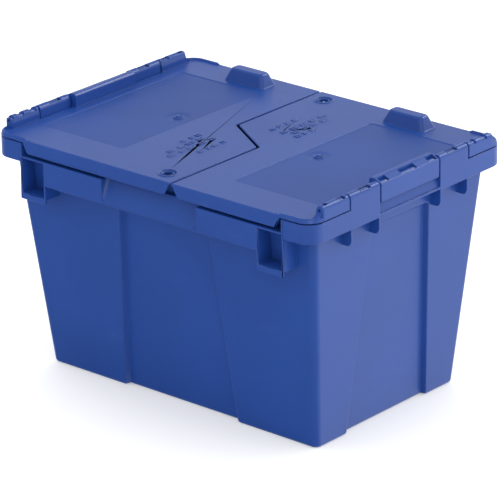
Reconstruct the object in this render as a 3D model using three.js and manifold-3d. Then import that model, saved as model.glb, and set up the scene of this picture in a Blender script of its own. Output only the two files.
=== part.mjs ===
// Attached-lid storage crate: a rigid tapered tub with two hinged lid halves that meet along a Z-shaped seam.
// Millimetres, +Z up. The origin is the centre of the footprint on the floor. +X points along the length to
// the right-hand hinge, and -Y is the front long side.

import * as THREE from 'three';
import { mergeVertices } from 'three/addons/utils/BufferGeometryUtils.js';
import Module from 'manifold-3d';

const wasm = await Module();
wasm.setup();

// ---- Driving dimensions ------------------------------------------------------------------------------------

const halfLength = 193;
const halfWidth = 138.5;
const lidTop = 236.5;
const lidThickness = 2;
const wall = 2.5;
const skirtThickness = 2.2;
const cornerRadius = 17;

// Tub: footprint on the floor, and how much each wall leans out per millimetre of height.
const footHalfLength = 164;
const footHalfWidth = 100;
const footRadius = 7;
const endDraft = 0.0862;
const sideDraft = 0.1031;
const floorThickness = 3;
const rimTop = 233.2;

// Recessed panels in the middle of each wall.
const sidePanel = { halfSpan: 68, narrowing: 0.084, depth: 5.5, top: 193.3 };
const endPanel = { halfSpan: 56, narrowing: 0.086, depth: 5, top: 203 };
const panelStepSlant = 2;

// Carrying band along the long sides.
const shelfTop = 220.5;
const bandBottom = 196.3;
const bandThickness = 2;
const handHoldHalfSpan = 57.3;
const handHoldTopReach = 128.3;
const handHoldLip = 1;
const pocketInner = 129;
const pocketOuter = 159.8;
const pocketFloor = 184.5;
const pocketLipBottom = 178.2;

// End skirts, hinge blocks and gussets.
const skirtBottom = 214.6;
const ledgeTop = 218;
const apron = { top: 226.3, footReach: 191.2, topReach: 188.5 };
const gussetBottom = 198.6;
const gussetCornerRadius = 5.5;
const gussetThickness = 2;
const hingeBayTop = 226.8;

// Hinge line: the lid's middle knuckle, one tub block on each side of it, and a lid knuckle at each corner.
const hingeX = 188.5;
const hingeZ = 243.7;
const barrelRadius = 4.5;
const boreRadius = 2.4;
const rodRadius = 1.9;
const rodHalfLength = 120.5;
const middleKnuckle = 41.5;
const blockInner = 43;
const blockOuter = 84;
const cornerKnuckleInner = 85.5;
const cornerKnuckleOuter = 122;
const barrelCoreTop = 239.2;
const windowHalfWidth = 2.9;
const ridgeWindows = [[-39.5, -28.5], [-11, 11], [28.5, 39.5]];
const blockWindow = [54.5, 69.5];
const cornerWindow = [89.5, 98.5];

// Lid halves.
const seamReach = 27.5;
const seamTurn = 17;
const seamGap = 1.5;
const lidSkirtBottom = 223.5;
const lidSkirtStart = { top: 157.3, bottom: 150.5 };
const lidSkirtTongueEnd = { top: 26.75, bottom: 19.4 };
const lidSkirtShortEnd = { top: 28.25, bottom: 36 };
const blockClearanceX = 183.3;
const ridge = { inner: 178.5, shoulder: 247.7, top: 249.5, crown: 185, lip: 245.8, tabBottom: 228 };
const cornerHousingInner = 183.5;
const cornerHousingLip = 242;
const lug = { x: 97.5, y: 116, top: 249, base: [49, 22], crest: [39, 13] };
const sealEye = { x: 8.2, y: 119.5, radius: 4.5, ringRadius: 10, sinkDepth: 1, sinkRadius: 7.9 };
const labelPanel = { near: 67, far: 169, halfWidth: 98, depth: 0.5 };

// ---- Solid helpers -----------------------------------------------------------------------------------------

const farAbove = 300;
const arcSteps = 4;

function toSolid(geometry) {
  const bare = geometry.index ? geometry.toNonIndexed() : geometry.clone();
  bare.deleteAttribute('normal');
  bare.deleteAttribute('uv');
  const merged = mergeVertices(bare, 1e-4);
  return new wasm.Manifold(new wasm.Mesh({
    numProp: 3,
    vertProperties: new Float32Array(merged.attributes.position.array),
    triVerts: new Uint32Array(merged.index.array),
  }));
}

function toGeometry(solid) {
  const mesh = solid.getMesh();
  const geometry = new THREE.BufferGeometry();
  geometry.setAttribute('position', new THREE.BufferAttribute(new Float32Array(mesh.vertProperties), 3));
  geometry.setIndex(new THREE.BufferAttribute(new Uint32Array(mesh.triVerts), 1));
  geometry.computeVertexNormals();
  return geometry;
}

function joined(solids) {
  return solids.reduce((total, next) => total.add(next));
}

function without(solid, cutters) {
  return cutters.reduce((rest, cutter) => rest.subtract(cutter), solid);
}

function block([x0, x1], [y0, y1], [z0, z1]) {
  const geometry = new THREE.BoxGeometry(x1 - x0, y1 - y0, z1 - z0);
  geometry.translate((x0 + x1) / 2, (y0 + y1) / 2, (z0 + z1) / 2);
  return toSolid(geometry);
}

function outline(points) {
  return new THREE.Shape(points.map(([x, y]) => new THREE.Vector2(x, y)));
}

function upright(shape, z0, z1) {
  const geometry = new THREE.ExtrudeGeometry(shape, {
    depth: z1 - z0, bevelEnabled: false, curveSegments: arcSteps,
  });
  geometry.translate(0, 0, z0);
  return geometry;
}

// A side profile drawn in X and Z, run along Y from y0 to y1.
function alongWidth(shape, [y0, y1]) {
  const geometry = new THREE.ExtrudeGeometry(shape, {
    depth: y1 - y0, bevelEnabled: false, curveSegments: arcSteps,
  });
  geometry.rotateX(Math.PI / 2);
  geometry.translate(0, y1, 0);
  return toSolid(geometry);
}

function cylinderAlongWidth(radius, halfSpan, sides) {
  const geometry = new THREE.CylinderGeometry(radius, radius, 2 * halfSpan, sides);
  geometry.translate(hingeX, 0, hingeZ);
  return toSolid(geometry);
}

function reshape(geometry, move) {
  const position = geometry.attributes.position;
  for (let i = 0; i < position.count; i += 1) {
    const [x, y] = move(position.getX(i), position.getY(i), position.getZ(i));
    position.setXY(i, x, y);
  }
  return geometry;
}

function roundedRectangle(halfX, halfY, radius) {
  const shape = new THREE.Shape();
  shape.absarc(halfX - radius, halfY - radius, radius, 0, Math.PI / 2);
  shape.absarc(radius - halfX, halfY - radius, radius, Math.PI / 2, Math.PI);
  shape.absarc(radius - halfX, radius - halfY, radius, Math.PI, 1.5 * Math.PI);
  shape.absarc(halfX - radius, radius - halfY, radius, 1.5 * Math.PI, 2 * Math.PI);
  return shape;
}

// The same solid turned half a turn about the vertical axis.
function opposite(solid) {
  return solid.rotate([0, 0, 180]);
}

// The same solid mirrored to the other side of the crate's middle plane across Y.
function acrossWidth(solid) {
  return solid.mirror([0, 1, 0]);
}

// ---- Tub ---------------------------------------------------------------------------------------------------

// The recess in one wall, grown by inset. The wall faces -Y, and turn brings it round to its own side.
function wallRecess(panel, footHalf, draft, inset, turn) {
  const face = footHalf - panel.depth - inset;
  const innerHalf = panel.halfSpan + inset;
  const outerHalf = innerHalf + panelStepSlant * 2;
  const outside = footHalf + panel.depth;
  const shape = outline([[-outerHalf, -outside], [outerHalf, -outside], [innerHalf, -face], [-innerHalf, -face]]);
  const geometry = reshape(upright(shape, -1, panel.top + inset), (x, y, z) => [
    x - Math.sign(x) * panel.narrowing * z,
    y - draft * z,
  ]);
  geometry.rotateZ(turn);
  return toSolid(geometry);
}

// The tapered body, drawn in by inset on every side.
function taperedBody(inset, bottom, top) {
  const shape = roundedRectangle(footHalfLength - inset, footHalfWidth - inset, footRadius - inset);
  const body = toSolid(reshape(upright(shape, bottom, top), (x, y, z) => [
    x + Math.sign(x) * endDraft * z,
    y + Math.sign(y) * sideDraft * z,
  ]));
  const sideRecess = wallRecess(sidePanel, footHalfWidth, sideDraft, inset, 0);
  const endRecess = wallRecess(endPanel, footHalfLength, endDraft, inset, Math.PI / 2);
  return without(body, [sideRecess, opposite(sideRecess), endRecess, opposite(endRecess)]);
}

function bandBox([x0, x1], zRange, reach = halfWidth) {
  return block([x0, x1], [footHalfWidth + sideDraft * zRange[0] - wall / 2, reach], zRange);
}

// One open-fronted pocket near the end of a long side.
function pocket() {
  const body = bandBox([pocketInner, pocketOuter], [pocketFloor - bandThickness, shelfTop]);
  const hollow = block(
    [pocketInner + bandThickness, pocketOuter - bandThickness],
    [0, halfWidth + 1],
    [pocketFloor, shelfTop - bandThickness],
  );
  const lip = block(
    [pocketInner, pocketOuter],
    [halfWidth - bandThickness, halfWidth],
    [pocketLipBottom, pocketFloor],
  );
  return joined([body.subtract(hollow), lip]);
}

// Half of the hand hold's back: a plate that leans in from the band's front edge up to the shelf behind it.
function handHoldBack() {
  const profile = outline([
    [halfWidth - bandThickness, bandBottom],
    [halfWidth, bandBottom],
    [halfWidth, bandBottom + handHoldLip],
    [handHoldTopReach, shelfTop],
    [handHoldTopReach - bandThickness, shelfTop],
  ]);
  const plate = alongWidth(profile, [-handHoldHalfSpan - 1, 1]).rotate([0, 0, 90]);
  const shelf = bandBox([-1, handHoldHalfSpan + 1], [shelfTop - bandThickness, shelfTop], handHoldTopReach - 0.5);
  return plate.add(shelf);
}

// The right half of the back long side: hand hold, shelf, closed panel and pocket.
function halfSideBand() {
  const shelf = bandBox([handHoldHalfSpan, pocketOuter], [shelfTop - bandThickness, shelfTop]);
  const handHoldEnd = bandBox([handHoldHalfSpan, handHoldHalfSpan + bandThickness], [bandBottom, shelfTop]);
  const closedPanel = block(
    [handHoldHalfSpan, pocketInner],
    [halfWidth - bandThickness, halfWidth],
    [bandBottom, shelfTop],
  );
  return joined([shelf, handHoldBack(), handHoldEnd, closedPanel, pocket()]);
}

function cornerArc(shape, radius, clockwise) {
  const centreX = halfLength - cornerRadius;
  const centreY = halfWidth - cornerRadius;
  if (clockwise) shape.absarc(centreX, centreY, radius, Math.PI / 2, 0, true);
  else shape.absarc(centreX, centreY, radius, 0, Math.PI / 2, false);
}

// The skirt round the back right corner, with the flange that joins it to the tub wall.
function cornerSkirt() {
  const skirt = new THREE.Shape();
  skirt.moveTo(pocketOuter, halfWidth);
  skirt.lineTo(halfLength - cornerRadius, halfWidth);
  cornerArc(skirt, cornerRadius, true);
  skirt.lineTo(halfLength, blockOuter - 1);
  skirt.lineTo(halfLength - skirtThickness, blockOuter - 1);
  cornerArc(skirt, cornerRadius - skirtThickness, false);
  skirt.lineTo(pocketOuter, halfWidth - skirtThickness);

  const flange = new THREE.Shape();
  flange.moveTo(pocketOuter - bandThickness, halfWidth);
  flange.lineTo(halfLength - cornerRadius, halfWidth);
  cornerArc(flange, cornerRadius, true);
  flange.lineTo(halfLength, blockOuter - 1);
  flange.lineTo(hingeX - barrelRadius - wall, blockOuter - 1);
  flange.lineTo(pocketOuter - bandThickness, footHalfWidth + sideDraft * rimTop - wall);

  const endWall = block(
    [pocketOuter - bandThickness, pocketOuter],
    [footHalfWidth + sideDraft * shelfTop - wall / 2, halfWidth],
    [shelfTop - bandThickness, rimTop],
  );
  return joined([
    toSolid(upright(skirt, skirtBottom, rimTop)),
    toSolid(upright(flange, rimTop - skirtThickness, rimTop)),
    endWall,
  ]);
}

// One hinge block of the tub: a hollow upright that carries a barrel at its top.
function hingeBlock() {
  const profile = new THREE.Shape();
  profile.moveTo(hingeX - barrelRadius, skirtBottom);
  profile.lineTo(halfLength, skirtBottom);
  profile.absarc(hingeX, hingeZ, barrelRadius, 0, Math.PI, false);
  const solid = alongWidth(profile, [blockInner, blockOuter]);
  const hollow = block(
    [hingeX - barrelRadius + skirtThickness, halfLength - skirtThickness],
    [blockInner + gussetThickness, blockOuter - gussetThickness],
    [0, barrelCoreTop],
  );
  return solid.subtract(hollow);
}

// A flat gusset under the end skirt, with a rounded lower outer corner. It starts at y0.
function gusset(y0) {
  const profile = new THREE.Shape();
  profile.moveTo(footHalfLength + endDraft * gussetBottom - wall / 2, skirtBottom);
  profile.lineTo(footHalfLength + endDraft * gussetBottom - wall / 2, gussetBottom);
  profile.absarc(
    halfLength - gussetCornerRadius, gussetBottom + gussetCornerRadius, gussetCornerRadius, 1.5 * Math.PI, 2 * Math.PI,
  );
  profile.lineTo(halfLength, skirtBottom);
  return alongWidth(profile, [y0, y0 + gussetThickness]);
}

function windowCutter([y0, y1]) {
  return block([hingeX - windowHalfWidth, hingeX + windowHalfWidth], [y0, y1], [hingeZ, farAbove]);
}

// Half of the sloping apron on the ledge, which closes the hinge bay below the swing of the lid's tab.
function halfApron() {
  const profile = outline([
    [apron.footReach - skirtThickness, ledgeTop - 1],
    [apron.footReach, ledgeTop - 1],
    [apron.topReach, apron.top],
    [apron.topReach - skirtThickness, apron.top],
  ]);
  return alongWidth(profile, [-1, blockInner + gussetThickness]);
}

// The back right quarter of the rim. Mirrored and turned, it makes the whole rim.
function rimQuarter() {
  const ledge = block(
    [footHalfLength + endDraft * skirtBottom - wall / 2, halfLength],
    [-1, blockInner + gussetThickness],
    [ledgeTop - skirtThickness, ledgeTop],
  );
  const parts = joined([
    halfSideBand(),
    cornerSkirt(),
    hingeBlock(),
    gusset(blockInner),
    gusset(blockOuter - gussetThickness),
    ledge,
    halfApron(),
  ]);
  const bore = cylinderAlongWidth(boreRadius, halfWidth, 16);
  return without(parts, [bore, windowCutter(blockWindow)]);
}

function tub() {
  const quarter = rimQuarter();
  const rightHalf = joined([quarter, acrossWidth(quarter)]);
  const shell = joined([taperedBody(0, 0, rimTop), rightHalf, opposite(rightHalf)]);
  const hollow = taperedBody(wall, floorThickness, rimTop + 2);
  const hingeBay = block([footHalfLength, halfLength + 1], [-blockInner, blockInner], [hingeBayTop, farAbove]);
  return without(shell, [hollow, hingeBay, opposite(hingeBay)]);
}

// ---- Lids --------------------------------------------------------------------------------------------------

// Both lids are drawn as the right-hand one, whose tongue is at the back. The left one is turned half a turn.
function lidOutline() {
  const slope = (2 * seamTurn) / (2 * seamReach);
  const halfGap = seamGap / 2;
  const turnShift = halfGap * (Math.hypot(1, slope) - slope);
  const shape = new THREE.Shape();
  shape.moveTo(seamReach + halfGap, -halfWidth);
  shape.lineTo(halfLength - cornerRadius, -halfWidth);
  shape.absarc(halfLength - cornerRadius, cornerRadius - halfWidth, cornerRadius, 1.5 * Math.PI, 2 * Math.PI);
  shape.absarc(halfLength - cornerRadius, halfWidth - cornerRadius, cornerRadius, 0, Math.PI / 2);
  shape.lineTo(-seamReach + halfGap, halfWidth);
  shape.lineTo(-seamReach + halfGap, seamTurn + turnShift);
  shape.lineTo(seamReach + halfGap, -seamTurn + turnShift);
  return shape;
}

// The crate's rounded outline, which trims the lid's corner knuckles. It reaches past the seam on the other side.
function lidTrim() {
  return roundedRectangle(halfLength, halfWidth, cornerRadius);
}

// A skirt on one long side, from the hinge end to the seam. The side is +1 at the back and -1 in front.
function lidSkirt(seamEnd, side) {
  const profile = outline([
    [seamEnd.top, lidTop],
    [seamEnd.bottom, lidSkirtBottom],
    [lidSkirtStart.bottom, lidSkirtBottom],
    [lidSkirtStart.top, lidTop],
  ]);
  const near = side * halfWidth;
  const far = side * (halfWidth - skirtThickness);
  return alongWidth(profile, [Math.min(near, far), Math.max(near, far)]);
}

// The raised middle knuckle, which also closes the hinge bay of the tub with a hanging tab.
function middleHinge() {
  const lidUnderside = lidTop - lidThickness;
  const profile = outline([
    [ridge.inner, lidUnderside],
    [halfLength - skirtThickness, lidUnderside],
    [halfLength - skirtThickness, ridge.tabBottom],
    [halfLength, ridge.tabBottom],
    [halfLength, ridge.lip],
    [ridge.crown, ridge.top],
    [ridge.inner + ridge.top - ridge.shoulder, ridge.top],
    [ridge.inner, ridge.shoulder],
  ]);
  const core = outline([
    [ridge.inner + skirtThickness, 0],
    [halfLength - skirtThickness, 0],
    [halfLength - skirtThickness, barrelCoreTop],
    [hingeX - barrelRadius, barrelCoreTop],
    [hingeX - barrelRadius, ridge.shoulder - skirtThickness / 2],
    [ridge.inner + skirtThickness, ridge.shoulder - skirtThickness / 2],
  ]);
  const coreHalf = middleKnuckle - skirtThickness;
  return {
    solid: alongWidth(profile, [-middleKnuckle, middleKnuckle]),
    cutters: [alongWidth(core, [-coreHalf, coreHalf]), ...ridgeWindows.map(windowCutter)],
  };
}

// The knuckle of the back corner, trimmed to the lid's rounded outline.
function cornerHinge() {
  const lipAngle = 0.75 * Math.PI;
  const profile = new THREE.Shape();
  profile.moveTo(cornerHousingInner, lidTop - lidThickness);
  profile.lineTo(halfLength, lidTop - lidThickness);
  profile.absarc(hingeX, hingeZ, barrelRadius, 0, lipAngle, false);
  profile.lineTo(cornerHousingInner, cornerHousingLip);
  const hollow = block(
    [cornerHousingInner + skirtThickness, halfLength - skirtThickness],
    [cornerKnuckleInner + skirtThickness, cornerKnuckleOuter - skirtThickness],
    [0, barrelCoreTop],
  );
  return {
    solid: alongWidth(profile, [cornerKnuckleInner, cornerKnuckleOuter]),
    cutters: [hollow, windowCutter(cornerWindow)],
  };
}

// A stacking lug: a block with sloping sides, hollow from below.
function stackingLug(lugY) {
  const shapeAt = (inset) => {
    const height = lug.top - lidTop;
    const [baseX, baseY] = lug.base;
    const [crestX, crestY] = lug.crest;
    const shape = roundedRectangle(baseX / 2 - inset, baseY / 2 - inset, 3);
    const bottom = inset > 0 ? -lidThickness - 1 : -1;
    return reshape(upright(shape, bottom, height - inset), (x, y, z) => {
      const rise = Math.max(z, 0) / height;
      return [
        x * (1 - rise * (1 - crestX / baseX)) + lug.x,
        y * (1 - rise * (1 - crestY / baseY)) + lugY,
      ];
    }).translate(0, 0, lidTop);
  };
  return { outer: toSolid(shapeAt(0)), hollow: toSolid(shapeAt(skirtThickness)) };
}

function uprightCylinder([x, y], radius, z0, z1, sides) {
  const geometry = new THREE.CylinderGeometry(radius, radius, z1 - z0, sides);
  geometry.rotateX(Math.PI / 2);
  geometry.translate(x, y, (z0 + z1) / 2);
  return toSolid(geometry);
}

// The eye for a security seal, on the tongue of the lid.
function sealEyeParts() {
  const centre = [-sealEye.x, sealEye.y];
  const underside = lidTop - lidThickness;
  return {
    boss: uprightCylinder(centre, sealEye.ringRadius, underside - sealEye.sinkDepth, underside + 1, 24),
    sink: uprightCylinder(centre, sealEye.sinkRadius, lidTop - sealEye.sinkDepth, farAbove, 24),
    hole: uprightCylinder(centre, sealEye.radius, 0, farAbove, 24),
  };
}

function lid(lugY) {
  const plate = toSolid(upright(lidOutline(), lidTop - lidThickness, lidTop));
  const blockGap = block(
    [blockClearanceX, farAbove],
    [middleKnuckle, cornerKnuckleInner],
    [0, farAbove],
  );
  const label = block(
    [labelPanel.near, labelPanel.far],
    [-labelPanel.halfWidth, labelPanel.halfWidth],
    [lidTop - labelPanel.depth, farAbove],
  );
  const lugParts = stackingLug(lugY);
  const eye = sealEyeParts();
  const middle = middleHinge();
  const corner = cornerHinge();
  const bore = cylinderAlongWidth(boreRadius, halfWidth, 16);
  const solid = joined([
    without(plate, [blockGap, acrossWidth(blockGap), label]),
    lidSkirt({ top: -lidSkirtTongueEnd.top, bottom: -lidSkirtTongueEnd.bottom }, 1),
    lidSkirt(lidSkirtShortEnd, -1),
    middle.solid,
    corner.solid,
    acrossWidth(corner.solid),
    lugParts.outer,
    eye.boss,
  ]);
  const cutters = [
    ...middle.cutters,
    ...corner.cutters,
    ...corner.cutters.map(acrossWidth),
    lugParts.hollow,
    eye.sink,
    eye.hole,
    bore,
  ];
  return without(solid, cutters).intersect(toSolid(upright(lidTrim(), 0, farAbove)));
}

// ---- Hinge rods --------------------------------------------------------------------------------------------

function hingeRod() {
  return cylinderAlongWidth(rodRadius, rodHalfLength, 16);
}

// ---- Assembly ----------------------------------------------------------------------------------------------

const plastic = { color: 0x2f4f9c, roughness: 0.45, metalness: 0 };
const lidPlastic = { color: 0x3a5aa6, roughness: 0.45, metalness: 0 };
const steel = { color: 0xb9bdc2, roughness: 0.3, metalness: 1 };

function piece(name, solid, finish) {
  const mesh = new THREE.Mesh(toGeometry(solid), new THREE.MeshStandardMaterial(finish));
  mesh.name = name;
  return mesh;
}

const crate = new THREE.Group();
crate.add(piece('tub', tub(), plastic));
crate.add(piece('right_lid', lid(lug.y), lidPlastic));
crate.add(piece('left_lid', opposite(lid(-lug.y)), lidPlastic));
crate.add(piece('right_hinge_rod', hingeRod(), steel));
crate.add(piece('left_hinge_rod', opposite(hingeRod()), steel));

export default crate;
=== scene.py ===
# Attached-lid storage crate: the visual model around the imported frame.
# Shapes are drawn in millimetres in the frame's axes and scaled to metres when a piece is finished.
# +X runs along the length to the right-hand hinge, -Y is the front long side, +Z is up.

import math

import bmesh
import bpy
from mathutils import Matrix, Vector


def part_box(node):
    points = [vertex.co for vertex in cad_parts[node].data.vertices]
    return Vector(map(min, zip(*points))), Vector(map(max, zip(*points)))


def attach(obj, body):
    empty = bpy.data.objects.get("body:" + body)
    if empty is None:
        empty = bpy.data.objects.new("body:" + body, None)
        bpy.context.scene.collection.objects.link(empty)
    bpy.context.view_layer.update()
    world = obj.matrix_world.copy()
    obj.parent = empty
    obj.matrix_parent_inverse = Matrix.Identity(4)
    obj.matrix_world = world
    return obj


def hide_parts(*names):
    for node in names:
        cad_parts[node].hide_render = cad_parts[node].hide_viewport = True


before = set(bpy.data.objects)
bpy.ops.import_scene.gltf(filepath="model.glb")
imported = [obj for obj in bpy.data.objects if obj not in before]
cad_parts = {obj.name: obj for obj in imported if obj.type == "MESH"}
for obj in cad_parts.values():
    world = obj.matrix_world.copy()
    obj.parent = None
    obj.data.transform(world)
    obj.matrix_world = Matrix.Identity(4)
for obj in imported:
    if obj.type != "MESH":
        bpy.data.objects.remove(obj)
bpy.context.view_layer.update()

MM = 0.001


def in_mm(value):
    """A length of the frame, which is in metres, in millimetres."""
    return round(value / MM, 2)


# ---- Driving dimensions, from the frame ----

TUB_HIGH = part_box("tub")[1]
LID_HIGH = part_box("right_lid")[1]
ROD_LOW, ROD_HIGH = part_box("right_hinge_rod")

HALF_LENGTH = in_mm(TUB_HIGH.x)
HALF_WIDTH = in_mm(TUB_HIGH.y)
HINGE_X = in_mm((ROD_LOW.x + ROD_HIGH.x) / 2)
HINGE_Z = in_mm((ROD_LOW.z + ROD_HIGH.z) / 2)
ROD_RADIUS = in_mm((ROD_HIGH.z - ROD_LOW.z) / 2)
ROD_HALF_LENGTH = in_mm(ROD_HIGH.y)
BARREL_RADIUS = in_mm(TUB_HIGH.z) - HINGE_Z
RIDGE_TOP = in_mm(LID_HIGH.z)
CLEAR = 5
CLEAR_ABOVE = RIDGE_TOP + CLEAR

LID_TOP = RIDGE_TOP - 13
LID_THICKNESS = 2
LID_UNDERSIDE = LID_TOP - LID_THICKNESS
WALL = 2.5
SKIRT = 2.2
BAND = 2.0
CORNER_RADIUS = 17

# Tub: footprint on the floor, and how much each wall leans out per millimetre of height.
FOOT_HALF_LENGTH = HALF_LENGTH - 29
FOOT_HALF_WIDTH = HALF_WIDTH - 38.5
WALL_CORNER = 7
END_DRAFT = 0.0862
SIDE_DRAFT = 0.1031
FLOOR_THICKNESS = 3
FOOT_ROUND = 3
FOOT_RIM = 12
FOOT_SLOPE = 1.5
FOOT_HOLLOW = 1.2
FLOOR_ROUND = 4
RIM_TOP = LID_UNDERSIDE - 1.3

# Recessed panels in the middle of each wall.
SIDE_PANEL = {"half": 68, "narrowing": 0.084, "depth": 5.5, "fade": (189.5, 193.3)}
END_PANEL = {"half": 56, "narrowing": 0.086, "depth": 5, "fade": (198.5, 203)}
PANEL_SLANT = 2
PANEL_OUTER_CUT = 1.0
PANEL_INNER_CUT = 0.5

# Carrying band along the long sides.
SHELF_TOP = 220.5
BAND_BOTTOM = 196.3
HAND_HOLD_HALF = 57.3
HAND_HOLD_TOP_REACH = 128.3
HAND_HOLD_LIP = 1.0
HAND_HOLD_ROUND = 5
POCKET_INNER = 129
POCKET_OUTER = 159.8
POCKET_FLOOR = 184.5
POCKET_LIP_BOTTOM = 178.2

# End skirts, hinge blocks and gussets.
SKIRT_BOTTOM = 214.6
LEDGE_TOP = 218
APRON = {"top": 226.3, "foot_reach": 191.2, "top_reach": 188.5}
GUSSET_BOTTOM = 198.6
GUSSET_ROUND = 5.5
HINGE_BAY_TOP = 226.8

# Hinge line.
ROD_TIP = 0.6
BORE_RADIUS = ROD_RADIUS + 0.5
MIDDLE_KNUCKLE = 41.5
BLOCK_INNER = 43
BLOCK_OUTER = 84
CORNER_KNUCKLE_INNER = 85.5
CORNER_KNUCKLE_OUTER = 122
BARREL_CORE_TOP = HINGE_Z - BARREL_RADIUS
WINDOW_HALF = 3.3
WINDOW_BARREL = 3.1
HOLE_HALF = 2.1
HOLE_LENGTH = 2
RIDGE_WINDOWS = ((-39.5, -28.5), (-11, 11), (28.5, 39.5))
BLOCK_WINDOW = (54.5, 69.5)
FRONT_CORNER_WINDOW = (-98.5, -89.5)
FRONT_CORNER_HOLE = (-118, -113)
BACK_CORNER_NOTCHES = ((88.5, 96.5), (104.5, 112.5), (118.5, 123))
NOTCH_FLOOR = HINGE_Z + 1.4
END_HOLE_RADIUS = 1.3

# Lid halves.
SEAM_REACH = 27.5
SEAM_TURN = 17
SEAM_GAP = 2.7
EDGE_ROUND = 1.8
LID_SKIRT_BOTTOM = LID_TOP - 13
LID_SKIRT_START = {"top": 157.3, "bottom": 150.5}
LID_SKIRT_TONGUE_END = {"top": 26.75, "bottom": 19.4}
LID_SKIRT_SHORT_END = {"top": 28.25, "bottom": 36}
BLOCK_CLEARANCE_X = 183.3
RIDGE = {"inner": 178.5, "shoulder": 247.7, "crown": 185, "lip": 245.8, "tab": 228}
HOUSING_INNER = 183.5
HOUSING_LIP = 242
LUG = {"x": 97.5, "y": 116, "top": 249, "base": (49, 22), "crest": (39, 13), "corner": 4.5, "round": 2.3}
RAMP = {"reach": 8, "inside": 4, "below_axis": 1.4, "inwards": 3, "outwards": 2.2}
BEAD = {"inset": 2.4, "half_width": 2.0, "height": 2.3, "start": 154, "full": 157}
SEAL_EYE = {"x": 8.2, "y": 119.5, "hole": 4.5, "sink": 7.9, "ring": 10}
LABEL = {"near": 67, "far": 169, "half": 98, "depth": 0.5, "slope": 0.8, "corner": 5}
GATE = {"x": 86, "radius": 12.5, "depth": 0.8, "shiny": (5.5, 8)}
# Rows of dashes: their X, where they start and end in Y, and how many dashes they have.
DASH_ROWS = ((6.5, 24, 67, 4), (20, 24, 92, 5), (28.5, 30, 84, 4), (37, 24, 56, 3))
DASH = {"half": 0.75, "apart": 1.5, "height": 0.8, "round": 0.6, "space": 3.2, "variation": 1.3}


# ---- Solid helpers ----

def arc_steps(cut):
    """How many steps a round gets, from the distance it cuts off its corner."""
    if cut < 1:
        return 3
    if cut < 4:
        return 5
    if cut < 12:
        return 8
    return 16


def round_corner(before, corner, after, cut, steps):
    """The points of a circular round that starts and ends cut away from the corner."""
    leaving = (before - corner).normalized()
    arriving = (after - corner).normalized()
    start = corner + leaving * cut
    end = corner + arriving * cut
    turn = math.pi - leaving.angle(arriving, math.pi)
    weight = math.cos(turn / 2)
    points = []
    for i in range(steps + 1):
        t = i / steps
        a = (1 - t) ** 2
        b = 2 * t * (1 - t) * weight
        c = t ** 2
        points.append((start * a + corner * b + end * c) / (a + b + c))
    return points


def rounded(corners, steps=None):
    """The closed outline through corners (u, v, cut), and the index of the corner each point comes from."""
    points = []
    owners = []
    count = len(corners)
    for i, corner in enumerate(corners):
        here = Vector(corner[:2])
        cut = corner[2]
        if cut == 0:
            points.append(here)
            owners.append(i)
            continue
        before = Vector(corners[i - 1][:2])
        after = Vector(corners[(i + 1) % count][:2])
        arc = round_corner(before, here, after, cut, steps or arc_steps(cut))
        points.extend(arc)
        owners.extend([i] * len(arc))
    return points, owners


def inset(points, depths):
    """An anticlockwise outline moved inwards, by one depth for each edge that leaves a point."""
    moved = []
    count = len(points)
    for i, point in enumerate(points):
        before = (point - points[i - 1]).normalized()
        after = (points[(i + 1) % count] - point).normalized()
        n0 = Vector((-before.y, before.x))
        n1 = Vector((-after.y, after.x))
        d0 = depths[i - 1]
        d1 = depths[i]
        determinant = n0.x * n1.y - n0.y * n1.x
        if abs(determinant) < 0.01:
            shift = (n0 + n1).normalized() * (d0 + d1) / 2
        else:
            shift = Vector((d0 * n1.y - d1 * n0.y, n0.x * d1 - n1.x * d0)) / determinant
        moved.append(point + shift)
    return moved


def new_object(build):
    """An object from a mesh under construction, with its faces turned outwards."""
    mesh = bpy.data.meshes.new("solid")
    bmesh.ops.recalc_face_normals(build, faces=build.faces)
    build.to_mesh(mesh)
    build.free()
    solid = bpy.data.objects.new("solid", mesh)
    bpy.context.scene.collection.objects.link(solid)
    return solid


def loft(rows):
    """A closed solid through rows of points, capped at both ends."""
    build = bmesh.new()
    rings = [[build.verts.new(point) for point in row] for row in rows]
    count = len(rows[0])
    for lower, upper in zip(rings, rings[1:]):
        for i in range(count):
            j = (i + 1) % count
            build.faces.new((lower[i], lower[j], upper[j], upper[i]))
    build.faces.new(rings[0][::-1])
    build.faces.new(rings[-1])
    return new_object(build)


def placed(axis, u, v, w):
    """A point of an outline (u, v) at distance w along the axis the outline is run along."""
    if axis == "x":
        return (w, u, v)
    if axis == "y":
        return (u, w, v)
    return (u, v, w)


def end_rows(points, rounds, axis, level, inwards, steps):
    """The rows of a rounded end, from its flat face to where the sides run straight."""
    rows = []
    count = len(points)
    if max(rounds) == 0:
        steps = 0
    for k in range(steps + 1):
        turn = math.pi / 2 * k / max(steps, 1)
        depth = 1 - math.sin(turn)
        rise = 1 - math.cos(turn)
        moved = inset(points, [r * depth for r in rounds]) if steps else points
        row = []
        for i in range(count):
            reach = max(rounds[i], rounds[i - 1]) * rise
            row.append(placed(axis, moved[i].x, moved[i].y, level + inwards * reach))
        rows.append(row)
    return rows


def signed_area(points):
    """The area of an outline, positive when it runs anticlockwise."""
    total = 0
    for i, point in enumerate(points):
        before = points[i - 1]
        total += before.x * point.y - point.x * before.y
    return total / 2


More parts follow.
